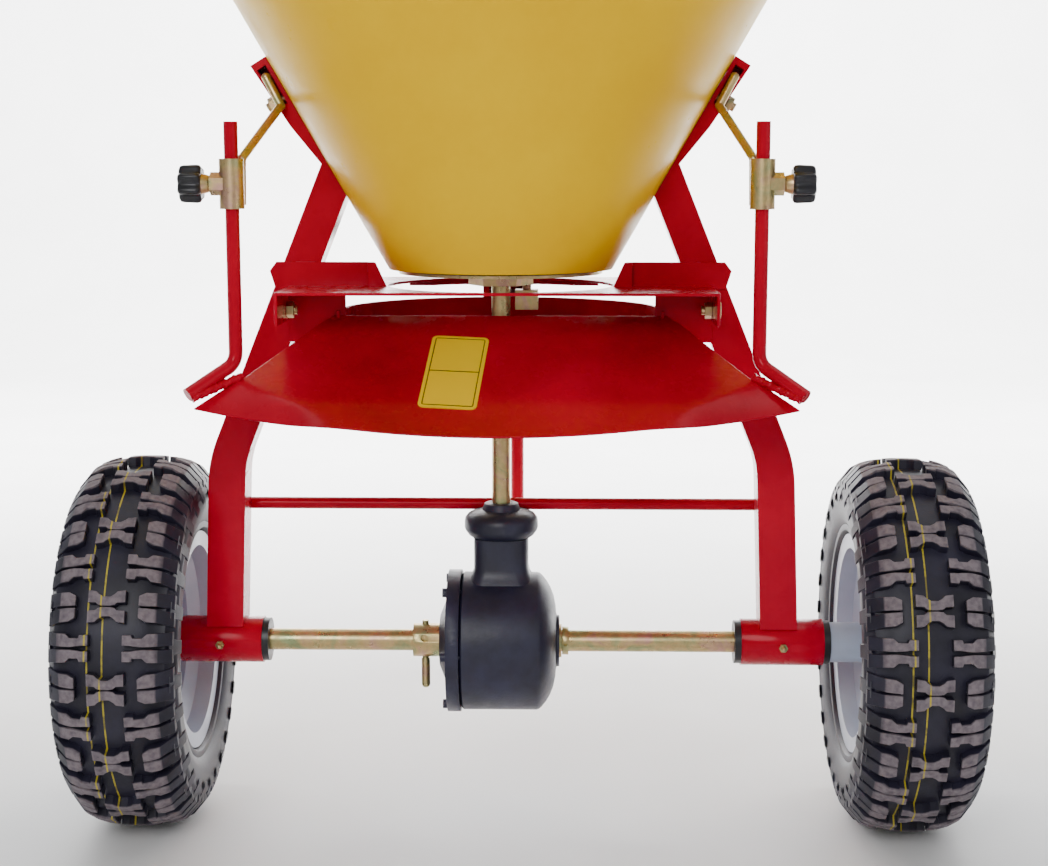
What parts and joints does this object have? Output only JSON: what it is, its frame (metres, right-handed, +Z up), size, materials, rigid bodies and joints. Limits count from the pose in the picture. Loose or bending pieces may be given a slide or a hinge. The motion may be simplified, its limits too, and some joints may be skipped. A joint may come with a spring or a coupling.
{
  "type": "tow-behind broadcast spreader",
  "caption": "Ground-driven broadcast spreader: conical hopper, shutter, spinner disc, height-set rear hood, bevel gearbox on the axle, knobby tyres and a drawbar.",
  "frame": {"origin": "on the ground, at the centre of the machine's outline seen from above", "axes": "+X to the right seen from the rear, +Y the direction of travel, +Z up"},
  "size_m": [0.8118, 1.0809, 0.8969],
  "materials": {
    "red_paint": "gloss red paint",
    "yellow_paint": "gloss yellow paint",
    "zinc": "yellow zinc plating",
    "steel": "machined steel",
    "black_plastic": "moulded black plastic",
    "gearbox_black": "black painted casting",
    "tyre": "ribbed and lugged rubber",
    "rim_silver": "silver paint",
    "label": "yellow film with a plain dark border",
    "valve_rubber": "black rubber"
  },
  "bodies": {
    "chassis": {"left_leg": "red_paint", "right_leg": "red_paint", "left_axle_housing": "red_paint", "right_axle_housing": "red_paint", "axle_bushes": "black_plastic", "grease_nipples": "zinc", "cross_rod": "red_paint", "platform": "red_paint", "front_guard": "red_paint", "bracket_bolts": "zinc", "drawbar": "red_paint", "drawbar_strap": "red_paint", "hitch_clevis": "red_paint", "stand_socket": "red_paint", "hopper": "yellow_paint", "hopper_bolts": "zinc", "shaft_bearing": "steel", "bearing_nut": "zinc", "left_rod_guide": "zinc", "right_rod_guide": "zinc", "gearbox_housing": "gearbox_black", "gearbox_cover": "gearbox_black", "gearbox_cap": "gearbox_black", "cover_screws": "gearbox_black", "gearbox_bushes": "zinc"},
    "axle_unit": {"axle": "zinc", "gear_sleeve": "zinc", "crown_gear": "steel", "axle_collar": "zinc", "axle_pins": "zinc", "left_rim": "rim_silver", "left_rim_disc": "rim_silver", "left_tyre": "tyre", "left_hub": "rim_silver", "left_valve": "valve_rubber"},
    "drive_pin_body": {"drive_pin": "zinc"},
    "right_wheel": {"right_rim": "rim_silver", "right_rim_disc": "rim_silver", "right_tyre": "tyre", "right_hub": "rim_silver", "right_hub_bushes": "black_plastic", "right_valve": "valve_rubber"},
    "spinner": {"spinner_shaft": "zinc", "pinion": "steel", "spinner_disc": "zinc", "disc_hub": "zinc", "vanes": "zinc", "agitator": "zinc"},
    "deflector": {"hood": "red_paint", "left_deflector_rod": "red_paint", "right_deflector_rod": "red_paint", "hood_label": "label"},
    "left_knob": {"left_clamp_knob": "black_plastic"},
    "right_knob": {"right_clamp_knob": "black_plastic"},
    "shutter": {"shutter_plate": "zinc", "shutter_grip": "black_plastic", "shutter_block": "zinc"},
    "stand": {"parking_stand": "red_paint"},
    "stand_screw": {"stand_clamp_screw": "zinc"}
  },
  "joints": [
    {"name": "axle_spin", "type": "hinge", "parent": "chassis", "child": "axle_unit", "pos_m": [-0.02, -0.2215, 0.172], "axis": [1, 0, 0], "continuous": true},
    {"name": "right_wheel_spin", "type": "hinge", "parent": "axle_unit", "child": "right_wheel", "pos_m": [0.35, -0.2215, 0.172], "axis": [1, 0, 0], "continuous": true},
    {"name": "spinner_spin", "type": "hinge", "parent": "chassis", "child": "spinner", "pos_m": [-0.02, -0.2215, 0.313], "axis": [0, 0, 1], "continuous": true},
    {"name": "drive_pin_pull", "type": "slide", "parent": "axle_unit", "child": "drive_pin_body", "axis": [0, 0, -1], "range_m": [0, 0.036]},
    {"name": "deflector_slide", "type": "slide", "parent": "chassis", "child": "deflector", "axis": [0, 0, 1], "range_m": [0, 0.018]},
    {"name": "left_knob_turn", "type": "hinge", "parent": "chassis", "child": "left_knob", "pos_m": [-0.271, -0.3255, 0.596], "axis": [-1, 0, 0], "range_deg": [0, 360]},
    {"name": "right_knob_turn", "type": "hinge", "parent": "chassis", "child": "right_knob", "pos_m": [0.231, -0.3255, 0.596], "axis": [1, 0, 0], "range_deg": [0, 360]},
    {"name": "shutter_turn", "type": "hinge", "parent": "chassis", "child": "shutter", "pos_m": [-0.02, -0.2215, 0.516], "axis": [0, 0, 1], "range_deg": [-22.5, 0]},
    {"name": "stand_slide", "type": "slide", "parent": "chassis", "child": "stand", "axis": [0, 0, 1], "range_m": [0, 0.09]},
    {"name": "stand_screw_turn", "type": "hinge", "parent": "chassis", "child": "stand_screw", "pos_m": [0, 0.3385, 0.34137], "axis": [1, 0, 0], "range_deg": [0, 360]}
  ],
  "couplings": [
    {"joint": "spinner_spin", "follows": "axle_spin", "ratio": 3}
  ]
}
